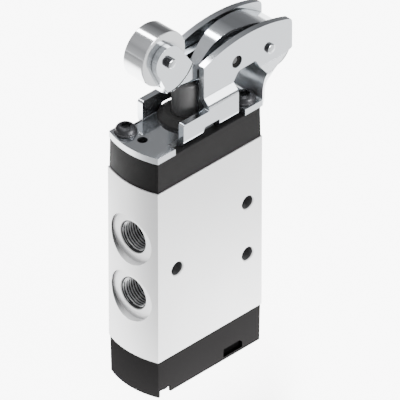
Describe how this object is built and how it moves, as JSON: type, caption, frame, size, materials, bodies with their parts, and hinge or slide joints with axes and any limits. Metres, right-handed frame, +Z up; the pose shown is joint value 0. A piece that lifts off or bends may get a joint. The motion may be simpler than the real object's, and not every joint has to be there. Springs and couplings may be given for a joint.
{
  "type": "roller lever air valve",
  "caption": "Five-port compressed air valve switched by a sprung roller lever, with a light alloy body, black end caps and a bright folded sheet bracket.",
  "frame": {"origin": "middle of the flat underside of the base cap", "axes": "+Z up the body towards the roller, -Y towards the two front ports and the roller, +X out of one flat side"},
  "size_m": [0.02, 0.0594, 0.1179],
  "materials": {
    "body_alloy": "fine satin, blasted and clear anodised",
    "cap_plastic": "moulded, matt, nearly black",
    "seal_rubber": "matt",
    "cage_plastic": "moulded, natural colour",
    "spool_alloy": "turned and ground",
    "spring_steel": "drawn wire",
    "plunger_steel": "dark turned steel",
    "guide_plastic": "moulded, matt black",
    "plated_sheet": "bright plated, smooth",
    "black_screw": "blackened steel, low sheen",
    "pin_steel": "ground",
    "roller_steel": "turned and polished, bright",
    "bush_bronze": "plain bearing bronze"
  },
  "bodies": {
    "housing": {"valve_body": "body_alloy", "top_cap": "cap_plastic", "base_cap": "cap_plastic", "top_gasket": "seal_rubber", "base_gasket": "seal_rubber", "seal_cages": "cage_plastic", "spool_seals": "seal_rubber", "return_spring": "spring_steel", "plunger_guide": "guide_plastic", "wiper_seal": "seal_rubber", "bracket": "plated_sheet", "bracket_screws": "black_screw", "base_screws": "black_screw", "pivot_pin": "pin_steel", "guide_buttons": "guide_plastic"},
    "lever_arm": {"lever": "plated_sheet", "pivot_sleeve": "pin_steel", "roller_pin": "pin_steel"},
    "roller_wheel": {"roller": "roller_steel", "roller_bush": "bush_bronze"},
    "valve_stem": {"plunger": "plunger_steel", "spool": "spool_alloy"}
  },
  "joints": [
    {"name": "lever_hinge", "type": "hinge", "parent": "housing", "child": "lever_arm", "pos_m": [0, 0.0262, 0.0963], "axis": [1, 0, 0], "range_deg": [0, 6.5], "stiffness_Nm_per_rad": 0.3},
    {"name": "roller_spin", "type": "hinge", "parent": "lever_arm", "child": "roller_wheel", "pos_m": [0, -0.012, 0.1094], "axis": [1, 0, 0], "continuous": true},
    {"name": "stem_slide", "type": "slide", "parent": "housing", "child": "valve_stem", "axis": [0, 0, -1], "range_m": [0, 0.0028], "deforming": ["return_spring"]}
  ],
  "couplings": [
    {"joint": "stem_slide", "follows": "lever_hinge", "m_per_rad": 0.0243}
  ]
}
